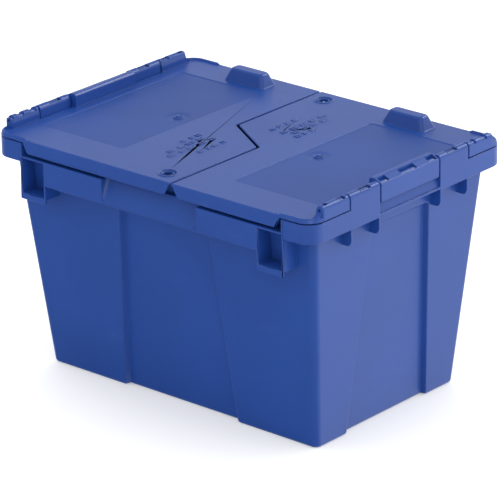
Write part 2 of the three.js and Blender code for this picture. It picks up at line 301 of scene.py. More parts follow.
def prism(corners, low, high, axis, soft=0.4, soft_low=None, steps=3):
    """An outline run along an axis from low to high, with its ends' edges rounded.
    soft is the round of the high end, as one radius or as one for each edge that leaves a corner."""
    soft_low = soft if soft_low is None else soft_low
    points, owners = rounded(corners)
    high_rounds = [soft[o] if isinstance(soft, (list, tuple)) else soft for o in owners]
    low_rounds = [soft_low[o] if isinstance(soft_low, (list, tuple)) else soft_low for o in owners]
    if signed_area(points) < 0:
        points = points[::-1]
        high_rounds = high_rounds[-2::-1] + high_rounds[-1:]
        low_rounds = low_rounds[-2::-1] + low_rounds[-1:]
    rows = end_rows(points, low_rounds, axis, low, 1, steps)
    rows += end_rows(points, high_rounds, axis, high, -1, steps)[::-1]
    return loft(rows)


def box_corners(u, v, cut=0):
    """The corners of a rectangle between u[0], u[1] and v[0], v[1]."""
    return [(u[0], v[0], cut), (u[1], v[0], cut), (u[1], v[1], cut), (u[0], v[1], cut)]


def lathe(profile, centre, steps=48):
    """A solid of revolution about a vertical axis, from (radius, height) pairs, closed at both ends."""
    rows = []
    for radius, height in profile:
        row = []
        for i in range(steps):
            turn = 2 * math.pi * i / steps
            x = centre[0] + radius * math.cos(turn)
            y = centre[1] + radius * math.sin(turn)
            row.append((x, y, height))
        rows.append(row)
    return loft(rows)


def quarter_round(radius, steps):
    """The steps of a quarter round: how far along each one is, and how far it still has to come out."""
    turns = [math.pi / 2 * k / steps for k in range(steps + 1)]
    return [(radius * (1 - math.cos(turn)), radius * (1 - math.sin(turn))) for turn in turns]


def plain_box(x, y, z):
    """A sharp-edged box between two values of X, of Y and of Z."""
    return prism(box_corners(x, z), y[0], y[1], "y", 0)


def hinge_ring(radius, y, steps=40):
    """A ring of points round the hinge axis."""
    turns = [2 * math.pi * i / steps for i in range(steps)]
    return [(HINGE_X + radius * math.cos(turn), y, HINGE_Z + radius * math.sin(turn)) for turn in turns]


def cylinder_along_width(radius, low, high):
    """A cylinder round the hinge axis."""
    return loft([hinge_ring(radius, y) for y in (low, high)])


def combine(base, others, operation):
    """Joins or cuts base with the other solids, and uses them up."""
    for other in others:
        modifier = base.modifiers.new("join", "BOOLEAN")
        modifier.solver = "MANIFOLD"
        modifier.operation = operation
        modifier.object = other
    depsgraph = bpy.context.evaluated_depsgraph_get()
    mesh = bpy.data.meshes.new_from_object(base.evaluated_get(depsgraph))
    base.modifiers.clear()
    base.data = mesh
    for other in others:
        bpy.data.objects.remove(other)
    return base


def union(solids):
    """The first solid with all the others joined to it."""
    return combine(solids[0], solids[1:], "UNION")


def difference(base, cutters):
    """The base with every cutter taken out of it."""
    return combine(base, cutters, "DIFFERENCE")


def duplicate(solid):
    """A copy of a solid with a mesh of its own."""
    other = bpy.data.objects.new("solid", solid.data.copy())
    bpy.context.scene.collection.objects.link(other)
    return other


def mirrored(solid, normal):
    """A copy mirrored in the plane through the origin with this normal."""
    other = duplicate(solid)
    other.data.transform(Matrix.Scale(-1, 4, normal))
    other.data.flip_normals()
    return other


def across_width(solid):
    """A copy mirrored from one long side to the other."""
    return mirrored(solid, (0, 1, 0))


def across_length(solid):
    """A copy mirrored to the other end of the crate."""
    return mirrored(solid, (1, 0, 0))


def opposite(solid):
    """A copy turned half a turn about the vertical axis."""
    other = duplicate(solid)
    other.data.transform(Matrix.Rotation(math.pi, 4, "Z"))
    return other


# ---- Tub shell ----

def fade(value, start, end):
    """1 up to start, 0 from end, smooth between."""
    t = min(max((value - start) / (end - start), 0), 1)
    return 1 - t * t * (3 - 2 * t)


def wall_corners(z, drawn_in):
    """The corners of the tub's horizontal section at height z, drawn in by a distance."""
    half_x = FOOT_HALF_LENGTH + END_DRAFT * z - drawn_in
    half_y = FOOT_HALF_WIDTH + SIDE_DRAFT * z - drawn_in
    radius = max(WALL_CORNER - drawn_in, 1.2)
    corners = []
    for turn in range(4):
        panel = SIDE_PANEL if turn % 2 == 0 else END_PANEL
        half_u = half_x if turn % 2 == 0 else half_y
        half_v = half_y if turn % 2 == 0 else half_x
        depth = panel["depth"] * fade(z, *panel["fade"])
        inner = panel["half"] - panel["narrowing"] * z + drawn_in
        outer = inner + PANEL_SLANT
        slack = min(1, 0.36 * math.hypot(PANEL_SLANT, depth))
        side = [
            (-outer, -half_v, PANEL_OUTER_CUT * slack),
            (-inner, -half_v + depth, PANEL_INNER_CUT * slack),
            (inner, -half_v + depth, PANEL_INNER_CUT * slack),
            (outer, -half_v, PANEL_OUTER_CUT * slack),
            (half_u, -half_v, radius),
        ]
        for u, v, cut in side:
            for _ in range(turn):
                u, v = -v, u
            corners.append((u, v, cut))
    return corners


def wall_row(z, drawn_in):
    """The tub's horizontal section at height z as points, drawn in by a distance."""
    points = []
    corners = wall_corners(z, drawn_in)
    count = len(corners)
    for i, corner in enumerate(corners):
        before = Vector(corners[i - 1][:2])
        after = Vector(corners[(i + 1) % count][:2])
        steps = 10 if i % 5 == 4 else 4
        points += round_corner(before, Vector(corner[:2]), after, corner[2], steps)
    return [(p.x, p.y, z) for p in points]


def wall_heights():
    """The heights between foot and rim where the wall's section changes."""
    heights = []
    for low, high in (SIDE_PANEL["fade"], END_PANEL["fade"]):
        heights += [low + (high - low) * k / 6 for k in range(7)]
    return heights


def tub_shell():
    """The open tub: foot, outer walls, rounded rim, inner walls and floor as one closed skin."""
    lip = WALL / 2
    rim_start = RIM_TOP - lip
    rows = [
        wall_row(FOOT_HOLLOW, FOOT_RIM + 2 * FOOT_SLOPE),
        wall_row(FOOT_HOLLOW, FOOT_RIM + FOOT_SLOPE),
        wall_row(0, FOOT_RIM),
    ]
    rows += [wall_row(along, short) for along, short in quarter_round(FOOT_ROUND, 5)]
    rows += [wall_row(z, 0) for z in wall_heights()]
    for k in range(9):
        turn = math.pi * k / 8
        rows.append(wall_row(rim_start + lip * math.sin(turn), lip * (1 - math.cos(turn))))
    rows += [wall_row(z, WALL) for z in reversed(wall_heights())]
    for along, short in quarter_round(FLOOR_ROUND, 5):
        rows.append(wall_row(FLOOR_THICKNESS + short, WALL + along))
    return loft(rows)


def tub_cavity():
    """The space inside the middle of the wall, which trims whatever is joined to the wall from outside."""
    drawn_in = WALL / 2
    return loft([wall_row(z, drawn_in) for z in [8] + wall_heights() + [RIM_TOP + 20]])


# ---- Tub band ----

def side_face(z):
    """How far the long walls' outer faces stand from the middle at height z."""
    return FOOT_HALF_WIDTH + SIDE_DRAFT * z


def end_face(z):
    """How far the end walls' outer faces stand from the middle at height z."""
    return FOOT_HALF_LENGTH + END_DRAFT * z


def side_bar(x, z, front, cut=0.5, soft=0.4):
    """A bar that stands out from the back wall, between two x and two z."""
    corners = [
        (side_face(z[0]) - WALL / 2, z[0], 0),
        (front, z[0], cut),
        (front, z[1], cut),
        (side_face(z[1]) - WALL / 2, z[1], 0),
    ]
    return prism(corners, x[0], x[1], "x", soft)


def hand_hold_cutter():
    """The scoop between the closed panels, open at the top. Its back leans in towards the shelf."""
    low = BAND_BOTTOM + HAND_HOLD_LIP
    back = HALF_WIDTH - 0.2
    lean = (back - HAND_HOLD_TOP_REACH) / (SHELF_TOP - low)
    corners = [
        (-HAND_HOLD_HALF, back, HAND_HOLD_ROUND),
        (HAND_HOLD_HALF, back, HAND_HOLD_ROUND),
        (HAND_HOLD_HALF, HALF_WIDTH + 30, 0),
        (-HAND_HOLD_HALF, HALF_WIDTH + 30, 0),
    ]
    cutter = prism(corners, low, SHELF_TOP + 5, "z", 0)
    for vertex in cutter.data.vertices:
        vertex.co.y -= lean * (vertex.co.z - low)
    return cutter


def hand_hold():
    """The hand hold's leaning back and its ends, thin-walled and open underneath."""
    ends = (-HAND_HOLD_HALF - BAND, HAND_HOLD_HALF + BAND)
    body = side_bar(ends, (BAND_BOTTOM, SHELF_TOP - 0.3), HALF_WIDTH - 1, 0, 0)
    lip_ends = (-HAND_HOLD_HALF - 1, HAND_HOLD_HALF + 1)
    lip = side_bar(lip_ends, (BAND_BOTTOM, BAND_BOTTOM + 3), HALF_WIDTH, 1.0)
    hollow = prism([
        (side_face(BAND_BOTTOM) - 2, BAND_BOTTOM - 1, 0),
        (HALF_WIDTH - BAND, BAND_BOTTOM - 1, 0),
        (HAND_HOLD_TOP_REACH - BAND, SHELF_TOP - BAND, 0),
        (side_face(SHELF_TOP) - 2, SHELF_TOP - BAND, 0),
    ], -HAND_HOLD_HALF, HAND_HOLD_HALF, "x", 0)
    return difference(union([body, lip]), [hand_hold_cutter(), hollow])


def closed_panel():
    """The flat panel between the hand hold and a pocket."""
    corners = [
        (HAND_HOLD_HALF, BAND_BOTTOM, 1.3),
        (POCKET_INNER + 1, BAND_BOTTOM, 0),
        (POCKET_INNER + 1, SHELF_TOP - 0.1, 0),
        (HAND_HOLD_HALF, SHELF_TOP - 0.1, 1.0),
    ]
    return prism(corners, HALF_WIDTH - BAND, HALF_WIDTH, "y", [1.0, 0, 0.5, 0.7], 0.2)


def pocket():
    """One open-fronted pocket near the end of a long side, with the lip that hangs below it."""
    body = side_bar((POCKET_INNER, POCKET_OUTER), (POCKET_FLOOR - BAND, SHELF_TOP - 0.2), HALF_WIDTH - 1.1)
    front = box_corners((POCKET_INNER, POCKET_OUTER), (POCKET_LIP_BOTTOM, SHELF_TOP - 0.3), 1.2)
    face = prism(front, HALF_WIDTH - BAND, HALF_WIDTH, "y", [0.9, 0.7, 0.5, 0.7], 0.2)
    inner = box_corners((POCKET_INNER + BAND, POCKET_OUTER - BAND), (POCKET_FLOOR, SHELF_TOP - BAND), 1.0)
    points = rounded(inner)[0]
    flare = 0.6
    back = side_face(POCKET_FLOOR) + 0.8
    rows = []
    for y, grow in ((back, 0), (HALF_WIDTH - flare, 0), (HALF_WIDTH + flare, 2 * flare)):
        grown = inset(points, [-grow] * len(points))
        rows.append([(p.x, y, p.y) for p in grown])
    return difference(union([body, face]), [loft(rows)])


def side_band():
    """Everything that stands out from the back long side between the corner skirts."""
    shelf = side_bar((HAND_HOLD_HALF + 0.5, POCKET_OUTER), (SHELF_TOP - BAND, SHELF_TOP), HALF_WIDTH, 0.6)
    half = union([shelf, closed_panel(), pocket()])
    return union([hand_hold(), half, across_length(half)])


# ---- Tub ends ----

def corner_skirt():
    """The skirt round the back right corner, and the flange that joins it to the wall."""
    inner_end = BLOCK_OUTER - 1
    skirt = prism([
        (POCKET_OUTER, HALF_WIDTH, 1.0),
        (POCKET_OUTER, HALF_WIDTH - SKIRT, 1.0),
        (HALF_LENGTH - SKIRT, HALF_WIDTH - SKIRT, CORNER_RADIUS - SKIRT),
        (HALF_LENGTH - SKIRT, inner_end, 0),
        (HALF_LENGTH, inner_end, 0),
        (HALF_LENGTH, HALF_WIDTH, CORNER_RADIUS),
    ], SKIRT_BOTTOM, RIM_TOP, "z", 0.9)
    flange = prism([
        (POCKET_OUTER - BAND, side_face(RIM_TOP) - WALL, 0),
        (HINGE_X - BARREL_RADIUS - WALL, inner_end, 0),
        (HALF_LENGTH - 0.7, inner_end, 0),
        (HALF_LENGTH - 0.7, HALF_WIDTH - 0.7, CORNER_RADIUS - 0.7),
        (POCKET_OUTER - BAND, HALF_WIDTH - 0.7, 0),
    ], RIM_TOP - SKIRT, RIM_TOP, "z", 0)
    end_wall = prism([
        (side_face(SHELF_TOP) - WALL / 2, SHELF_TOP - BAND, 0),
        (HALF_WIDTH, SHELF_TOP - BAND, 0),
        (HALF_WIDTH, RIM_TOP, 0.5),
        (side_face(RIM_TOP) - WALL / 2, RIM_TOP, 0),
    ], POCKET_OUTER - BAND, POCKET_OUTER, "x", 0.4)
    return union([skirt, flange, end_wall])


def barrel_arc(sweep, steps):
    """The outline corners of an arc round the hinge axis, in X and Z, from the outer side upwards."""
    turns = [sweep * i / steps for i in range(steps + 1)]
    return [(HINGE_X + BARREL_RADIUS * math.cos(turn), HINGE_Z + BARREL_RADIUS * math.sin(turn), 0)
            for turn in turns]


def top_cutter(span, half, low):
    """A cut in the top of a knuckle along span, half to each side of the hinge axis and down to low."""
    return plain_box((HINGE_X - half, HINGE_X + half), span, (low, CLEAR_ABOVE))


def window_cutter(window):
    """A window in the top of a knuckle, which bares the inner barrel."""
    return top_cutter(window, WINDOW_HALF, HINGE_Z)


def window_barrel(y0, y1):
    """The part of the inner barrel that a window bares."""
    return cylinder_along_width(WINDOW_BARREL, y0, y1)


def hole_cutter(y0, y1):
    """A small hole in the top of a knuckle, down to the bore."""
    return top_cutter((y0, y1), HOLE_HALF, HINGE_Z + 0.4)


def hinge_block():
    """One hinge block of the tub: a hollow upright that carries a barrel at its top."""
    inner = HINGE_X - BARREL_RADIUS
    outline = [(inner, SKIRT_BOTTOM, 0), (HALF_LENGTH, SKIRT_BOTTOM, 0.5)] + barrel_arc(math.pi, 20)
    block = prism(outline, BLOCK_INNER, BLOCK_OUTER, "y", 0.5)
    hollow = plain_box((inner + SKIRT, HALF_LENGTH - SKIRT), (BLOCK_INNER + BAND, BLOCK_OUTER - BAND),
                       (SKIRT_BOTTOM - CLEAR, BARREL_CORE_TOP))
    y0, y1 = BLOCK_WINDOW
    block = difference(block, [hollow, window_cutter(BLOCK_WINDOW)])
    block = union([block, window_barrel(y0 - 1, y1 + 1)])
    return difference(block, [hole_cutter(y1 - HOLE_LENGTH, y1), hole_cutter(y0, y0 + HOLE_LENGTH)])


def gusset(y0):
    """A flat gusset under the end skirt, with a rounded lower outer corner."""
    inner = end_face(GUSSET_BOTTOM) - WALL / 2
    return prism([
        (inner, SKIRT_BOTTOM + 1, 0),
        (inner, GUSSET_BOTTOM, 0),
        (HALF_LENGTH, GUSSET_BOTTOM, GUSSET_ROUND),
        (HALF_LENGTH, SKIRT_BOTTOM + 1, 0),
    ], y0, y0 + BAND, "y", 0.4)


def end_ledge():
    """The ledge under the hinge bay, along one end, with the sloping apron on it."""
    reach = BLOCK_INNER + BAND
    apron = prism([
        (APRON["foot_reach"] - SKIRT, LEDGE_TOP - 1, 0),
        (APRON["foot_reach"], LEDGE_TOP - 1, 0),
        (APRON["top_reach"], APRON["top"], 0.8),
        (APRON["top_reach"] - SKIRT, APRON["top"], 0.8),
    ], -reach, reach, "y", 0)
    ledge = prism([
        (end_face(SKIRT_BOTTOM) - WALL / 2, LEDGE_TOP - SKIRT, 0),
        (HALF_LENGTH, LEDGE_TOP - SKIRT, 0.7),
        (HALF_LENGTH, LEDGE_TOP, 0.7),
        (end_face(SKIRT_BOTTOM) - WALL / 2, LEDGE_TOP, 0),
    ], -reach, reach, "y", 0.3)
    return union([ledge, apron])


def rim_end():
    """Everything that stands out from the right-hand end."""
    quarter = union([
        corner_skirt(),
        hinge_block(),
        gusset(BLOCK_INNER),
        gusset(BLOCK_OUTER - BAND),
    ])
    return union([quarter, across_width(quarter), end_ledge()])


def tub():
    """The whole tub: shell, side bands and ends, with the hinge bays and bores cut out."""
    band = side_band()
    end = rim_end()
    rim = union([band, opposite(band), end, opposite(end)])
    rim = difference(rim, [tub_cavity()])
    shell = union([tub_shell(), rim])
    bay = plain_box((FOOT_HALF_LENGTH, HALF_LENGTH + CLEAR), (-BLOCK_INNER + 0.1, BLOCK_INNER - 0.1),
                    (HINGE_BAY_TOP, CLEAR_ABOVE))
    bore = cylinder_along_width(BORE_RADIUS, -HALF_WIDTH, HALF_WIDTH)
    return difference(shell, [opposite(bay), bay, opposite(bore), bore])


# ---- Lids ----

def lid_plate():
    """The flat of the right-hand lid. Its tongue is at the back, beyond the Z-shaped seam."""
    slope = SEAM_TURN / SEAM_REACH
    half_gap = SEAM_GAP / 2
    shift = half_gap * (math.hypot(1, slope) - slope)
    corners = [
        (SEAM_REACH + half_gap, -HALF_WIDTH, 0),
        (HALF_LENGTH, -HALF_WIDTH, CORNER_RADIUS),
        (HALF_LENGTH, HALF_WIDTH, CORNER_RADIUS),
        (half_gap - SEAM_REACH, HALF_WIDTH, 0),
        (half_gap - SEAM_REACH, SEAM_TURN + shift, 1.8),
        (SEAM_REACH + half_gap, shift - SEAM_TURN, 1.0),
    ]
    upper = [EDGE_ROUND] * 3 + [0.9] * 3
    lower = [0] * 3 + [0.3] * 3
    return prism(corners, LID_UNDERSIDE, LID_TOP, "z", upper, lower, 5)


def lid_skirt(seam_end, side):
    """A skirt on one long side, from the hinge end to the seam. side is 1 at the back and -1 in front."""
    top = LID_TOP - EDGE_ROUND
    share = EDGE_ROUND / (LID_TOP - LID_SKIRT_BOTTOM)
    seam_top = seam_end["top"] + (seam_end["bottom"] - seam_end["top"]) * share
    start_top = LID_SKIRT_START["top"] + (LID_SKIRT_START["bottom"] - LID_SKIRT_START["top"]) * share
    corners = [
        (seam_top, top, 0),
        (seam_end["bottom"], LID_SKIRT_BOTTOM, 1.0),
        (LID_SKIRT_START["bottom"], LID_SKIRT_BOTTOM, 1.0),
        (start_top, top, 0),
    ]
    outer = [0.8, 1.0, 0.8, 0]
    inner = [0.3, 0.3, 0.3, 0]
    if side > 0:
        return prism(corners, HALF_WIDTH - SKIRT, HALF_WIDTH, "y", outer, inner)
    return prism(corners, -HALF_WIDTH, SKIRT - HALF_WIDTH, "y", inner, outer)


def middle_hinge():
    """The raised middle knuckle and the tab that closes the hinge bay of the tub."""
    body = prism([
        (RIDGE["inner"], LID_UNDERSIDE + 0.2, 0),
        (HALF_LENGTH, LID_UNDERSIDE + 0.2, 0),
        (HALF_LENGTH, RIDGE["lip"], 0.8),
        (RIDGE["crown"], RIDGE_TOP, 1.0),
        (RIDGE["inner"] + RIDGE_TOP - RIDGE["shoulder"], RIDGE_TOP, 0.7),
        (RIDGE["inner"], RIDGE["shoulder"], 0.7),
    ], -MIDDLE_KNUCKLE, MIDDLE_KNUCKLE, "y", 0.6)
    tab = prism([
        (-MIDDLE_KNUCKLE, LID_TOP + 3, 0),
        (-MIDDLE_KNUCKLE, RIDGE["tab"], 1.6),
        (MIDDLE_KNUCKLE, RIDGE["tab"], 1.6),
        (MIDDLE_KNUCKLE, LID_TOP + 3, 0),
    ], HALF_LENGTH - SKIRT, HALF_LENGTH, "x", [0.6, 0.9, 0.6, 0], 0.3)
    inside = (SKIRT - MIDDLE_KNUCKLE, MIDDLE_KNUCKLE - SKIRT)
    near = RIDGE["inner"] + SKIRT
    core = plain_box((near, HALF_LENGTH - SKIRT), inside, (0, BARREL_CORE_TOP))
    slot = plain_box((near, HINGE_X - BARREL_RADIUS), inside, (0, RIDGE["shoulder"] - SKIRT / 2))
    windows = [window_cutter(window) for window in RIDGE_WINDOWS]
    return union([body, tab]), [core, slot] + windows


def notch_cutter(y0, y1):
    """A cut across the whole top of a knuckle."""
    return top_cutter((y0, y1), BARREL_RADIUS + 1, NOTCH_FLOOR)


def corner_hinge():
    """The knuckle at the back corner, and the hollow under it."""
    corners = [(HOUSING_INNER, LID_UNDERSIDE + 0.2, 0), (HALF_LENGTH, LID_UNDERSIDE + 0.2, 0)]
    corners += barrel_arc(0.75 * math.pi, 16)
    corners.append((HOUSING_INNER, HOUSING_LIP, 1.4))
    outer_end = [0] + [2.0] * (len(corners) - 1)
    body = prism(corners, CORNER_KNUCKLE_INNER, CORNER_KNUCKLE_OUTER, "y", outer_end, 0.5, 5)
    inside = (CORNER_KNUCKLE_INNER + SKIRT, CORNER_KNUCKLE_OUTER - SKIRT)
    return body, plain_box((HOUSING_INNER + SKIRT, HALF_LENGTH - SKIRT), inside, (0, BARREL_CORE_TOP))


def lug_row(z, half_x, half_y, corner, lug_y):
    """One horizontal row of a stacking lug's points."""
    outline = rounded(box_corners((-half_x, half_x), (-half_y, half_y), corner), 5)[0]
    return [(LUG["x"] + p.x, lug_y + p.y, z) for p in outline]


def stacking_lug(lug_y):
    """A stacking lug with sloping sides and rounded edges, and the hollow under it."""
    height = LUG["top"] - LID_TOP
    base_x, base_y = (side / 2 for side in LUG["base"])
    crest_x, crest_y = (side / 2 for side in LUG["crest"])
    top_round = LUG["round"]
    corner_round = LUG["corner"]
    flare = 0.9

    def halves(z):
        """Half the lug's length and width at height z."""
        rise = max(z - LID_TOP, 0) / height
        return base_x + (crest_x - base_x) * rise, base_y + (crest_y - base_y) * rise

    rows = []
    levels = [(LID_TOP - 0.05 + along, short) for along, short in quarter_round(flare, 4)]
    levels += [(LUG["top"] - short, -along * 0.8) for along, short in quarter_round(top_round, 5)]
    for z, spread in levels:
        half_x, half_y = halves(z)
        rows.append(lug_row(z, half_x + spread, half_y + spread, corner_round + spread, lug_y))
    skirt_row = lug_row(LID_UNDERSIDE + 0.5, base_x, base_y, corner_round, lug_y)
    outer = loft([skirt_row] + rows)
    inner = []
    for z in (LID_UNDERSIDE - 1, LID_TOP, LUG["top"] - SKIRT):
        half_x, half_y = halves(z)
        inner.append(lug_row(z, half_x - SKIRT, half_y - SKIRT, 1.5, lug_y))
    return outer, loft(inner)


def seal_eye_parts():
    """The eye for a security seal: a boss with a raised rim, a sunk step and a through hole."""
    centre = (-SEAL_EYE["x"], SEAL_EYE["y"])
    ring = SEAL_EYE["ring"]
    sink = SEAL_EYE["sink"]
    hole = SEAL_EYE["hole"]
    boss = lathe([
        (ring, LID_UNDERSIDE - 1), (ring, LID_TOP), (ring - 0.5, LID_TOP + 0.6),
        (sink + 0.6, LID_TOP + 0.6), (sink, LID_TOP + 0.05),
    ], centre)
    groove = lathe([
        (sink, LID_TOP + 2), (sink, LID_TOP - 0.2), (sink - 0.6, LID_TOP - 1), (0.5, LID_TOP - 1),
    ], centre)
    collar = lathe([
        (hole + 1.7, LID_TOP - 1.5), (hole + 1.5, LID_TOP - 0.4),
        (hole + 1.0, LID_TOP - 0.1), (0.5, LID_TOP - 0.1),
    ], centre)
    through = lathe([
        (hole, 0), (hole, LID_TOP - 0.6), (hole + 0.6, LID_TOP + 0.1), (hole + 0.6, LID_TOP + CLEAR),
    ], centre)
    return boss, groove, collar, through


def label_cutter():
    """The sunk label panel, with sloping borders."""
    corners = box_corners((LABEL["near"], LABEL["far"]), (-LABEL["half"], LABEL["half"]), LABEL["corner"])
    points = rounded(corners)[0]
    levels = (
        (LABEL["depth"], LABEL["slope"]),
        (LABEL["depth"] * 0.8, LABEL["slope"] * 0.7),
        (0, 0),
        (-1, -LABEL["slope"]),
    )
    rows = []
    for depth, drawn_in in levels:
        moved = inset(points, [drawn_in] * len(points))
        rows.append([(p.x, p.y, LID_TOP - depth) for p in moved])
    return loft(rows)


def gate_parts():
    """The moulding gate in the label panel: a shallow dish with a small ringed nub."""
    centre = (GATE["x"], 0)
    floor = LID_TOP - LABEL["depth"]
    radius = GATE["radius"]
    deep = GATE["depth"]
    dish = lathe([
        (radius + 0.6, floor + 1), (radius, floor), (radius - 1.6, floor - deep * 0.75),
        (radius * 0.5, floor - deep), (0.5, floor - deep),
    ], centre, 64)
    nub = lathe([
        (5.4, floor - 1.1), (5.4, floor - deep + 0.1), (4.9, floor + 0.45), (4.1, floor + 0.4),
        (3.5, floor - 0.3), (2.9, floor - 0.25), (2.7, floor + 0.6), (2.1, floor + 1.25), (0.9, floor + 1.5),
    ], centre)
    return dish, nub


def mark_rows():
    """Rows of plain raised dashes, two thin strokes each, where moulded notes would be."""
    half = DASH["half"]
    marks = []
    for x, start, end, count in DASH_ROWS:
        pitch = (end - start) / count
        for i in range(count):
            low = start + pitch * i
            high = low + pitch - DASH["space"] - DASH["variation"] * ((i * 2 + count) % 3)
            for stroke in (x - DASH["apart"], x + DASH["apart"]):
                corners = box_corners((stroke - half, stroke + half), (low, high), DASH["round"])
                marks.append(prism(corners, LID_TOP - 0.5, LID_TOP + DASH["height"], "z", DASH["round"], 0))
    return marks


def nub(x, y, z, radius):
    """A small domed moulding mark."""
    profile = []
    for k in range(5):
        turn = math.pi / 2 * k / 4 * 0.9
        profile.append((radius * math.cos(turn), z + radius * 0.8 * math.sin(turn)))
    return lathe([(radius, z - 0.5)] + profile, (x, y), 16)


def corner_ramp():
    """The ramp that braces the outer end of the front corner knuckle."""
    foot = -CORNER_KNUCKLE_OUTER - RAMP["reach"]
    inside = -CORNER_KNUCKLE_OUTER + RAMP["inside"]
    top = HINGE_Z - RAMP["below_axis"]
    return prism([
        (foot, LID_TOP - 0.5, 0),
        (foot, LID_TOP, 0),
        (-CORNER_KNUCKLE_OUTER + 1, top, 0.8),
        (inside, top, 0),
        (inside, LID_TOP - 0.5, 0),
    ], HINGE_X - RAMP["inwards"], HINGE_X + RAMP["outwards"], "x", 0.6)


def corner_bead():
    """The raised bead from the hinge end of the skirt, round the back corner, to the corner knuckle."""
    turn_radius = CORNER_RADIUS - BEAD["inset"]
    centre_x = HALF_LENGTH - CORNER_RADIUS
    centre_y = HALF_WIDTH - CORNER_RADIUS
    path = [(x, centre_y + turn_radius, math.pi / 2) for x in (BEAD["start"], BEAD["full"])]
    for k in range(13):
        turn = math.pi / 2 * (1 - k / 12)
        path.append((centre_x + turn_radius * math.cos(turn), centre_y + turn_radius * math.sin(turn), turn))
    path.append((centre_x + turn_radius, CORNER_KNUCKLE_OUTER - 3, 0))
    rows = []
    for index, (x, y, turn) in enumerate(path):
        size = 0.4 if index == 0 else 1
        row = []
        for i in range(12):
            roll = 2 * math.pi * i / 12
            out = BEAD["half_width"] * size * math.cos(roll)
            rise = BEAD["height"] * size * math.sin(roll)
            row.append((x + out * math.cos(turn), y + out * math.sin(turn), LID_TOP - 0.4 + rise))
        rows.append(row)
    return loft(rows)


def edge_nub(side):
    """A moulding dot near the hinge end of a long edge."""
    return nub(LID_SKIRT_START["bottom"], side * (HALF_WIDTH - EDGE_ROUND - 1.6), LID_TOP, 0.8)


def lid(lug_y):
    """One whole lid on the right-hand side, with its stacking lug at lug_y."""
    between_knuckles = (MIDDLE_KNUCKLE, CORNER_KNUCKLE_INNER)
    gap_corners = box_corners((BLOCK_CLEARANCE_X, HALF_LENGTH + CLEAR), between_knuckles)
    gap = prism(gap_corners, 0, CLEAR_ABOVE, "z", 0)
    dish, gate_nub = gate_parts()
    plate = difference(lid_plate(), [across_width(gap), gap, label_cutter(), dish])
    middle, middle_cutters = middle_hinge()
    corner, corner_hollow = corner_hinge()
    lug, lug_hollow = stacking_lug(lug_y)
    boss, groove, collar, through = seal_eye_parts()
    bead = corner_bead()
    tongue_end = {key: -value for key, value in LID_SKIRT_TONGUE_END.items()}
    solid = union([
        plate,
        lid_skirt(tongue_end, 1),
        lid_skirt(LID_SKIRT_SHORT_END, -1),
        middle,
        across_width(corner),
        corner,
        corner_ramp(),
        lug,
        gate_nub,
        boss,
        bead,
        across_width(bead),
        edge_nub(1),
        edge_nub(-1),
    ] + mark_rows())
    hollows = middle_cutters + [corner_hollow, across_width(corner_hollow)]
    openings = [window_cutter(FRONT_CORNER_WINDOW)] + [notch_cutter(*notch) for notch in BACK_CORNER_NOTCHES]
    solid = difference(solid, hollows + openings + [lug_hollow, groove])
    windows = RIDGE_WINDOWS + (FRONT_CORNER_WINDOW,)
    furthest = CORNER_KNUCKLE_OUTER - 0.3
    bared = [window_barrel(y0 - 1, min(y1 + 1, furthest)) for y0, y1 in windows + BACK_CORNER_NOTCHES]
    solid = union([solid, collar] + bared)
    holes = [hole_cutter(y1 - HOLE_LENGTH, y1) for y0, y1 in windows]
    holes.append(hole_cutter(*FRONT_CORNER_HOLE))
    bore_end = CORNER_KNUCKLE_OUTER - 1.2
    bore = cylinder_along_width(BORE_RADIUS, -bore_end, bore_end)
    end_hole = cylinder_along_width(END_HOLE_RADIUS, -HALF_WIDTH, HALF_WIDTH)
    solid = difference(solid, holes + [union([bore, end_hole]), through])
    trim_corners = box_corners((-HALF_LENGTH, HALF_LENGTH), (-HALF_WIDTH, HALF_WIDTH), CORNER_RADIUS)
    trim = prism(trim_corners, 0, CLEAR_ABOVE, "z", 0)
    return combine(solid, [trim], "INTERSECT")


# ---- Hinge rods ----

def hinge_rod():
    """A drawn steel rod with rounded ends."""
    levels = [(ROD_RADIUS - short, along - ROD_HALF_LENGTH) for along, short in quarter_round(ROD_TIP, 4)]
    levels += [(radius, -y) for radius, y in reversed(levels)]
    return loft([hinge_ring(radius, y) for radius, y in levels])


# ---- Materials ----

TUB_BLUE = (0.013, 0.065, 0.322)
LID_BLUE = (0.0135, 0.066, 0.325)
# Paler blue painted along the edges: partly patchy wear, partly a painted edge highlight.
EDGE_HIGHLIGHT_AND_WEAR_BLUE = (0.16, 0.22, 0.55)
SCUFF_BLUE = (0.3, 0.36, 0.6)


def add_node(tree, kind, settings=None, **inputs):
    """A shader node, with its settings and its inputs set to values or linked from sockets."""
    node = tree.nodes.new(kind)
    for key, value in (settings or {}).items():
        setattr(node, key, value)
    for key, value in inputs.items():
        name = key.replace("_", " ")
        socket = node.inputs[int(key[1:])] if key[0] == "i" and key[1:].isdigit() else node.inputs[name]
        if isinstance(value, bpy.types.NodeSocket):
            tree.links.new(value, socket)
        else:
            socket.default_value = value
    return node


def maths(tree, operation, first, second=0.0):
    """The output of a maths node."""
    node = add_node(tree, "ShaderNodeMath", {"operation": operation}, i0=first, i1=second)
    return node.outputs[0]


def noise(tree, vector, scale, detail, rough):
    """The output of a noise node."""
    node = add_node(tree, "ShaderNodeTexNoise", None, Vector=vector, Scale=scale, Detail=detail,
                    Roughness=rough)
    return node.outputs[0]


def remap(tree, value, from_low, from_high, to_low, to_high):
    """A value moved from one range to another, and held within it."""
    node = add_node(tree, "ShaderNodeMapRange", {"clamp": True}, i0=value, i1=from_low, i2=from_high,
                    i3=to_low, i4=to_high)
    return node.outputs[0]


def mix_colours(tree, share, first, second, blend="MIX"):
    """The output of a node that mixes two colours."""
    settings = {"data_type": "RGBA", "blend_type": blend}
    return add_node(tree, "ShaderNodeMix", settings, i0=share, i6=first, i7=second).outputs[2]


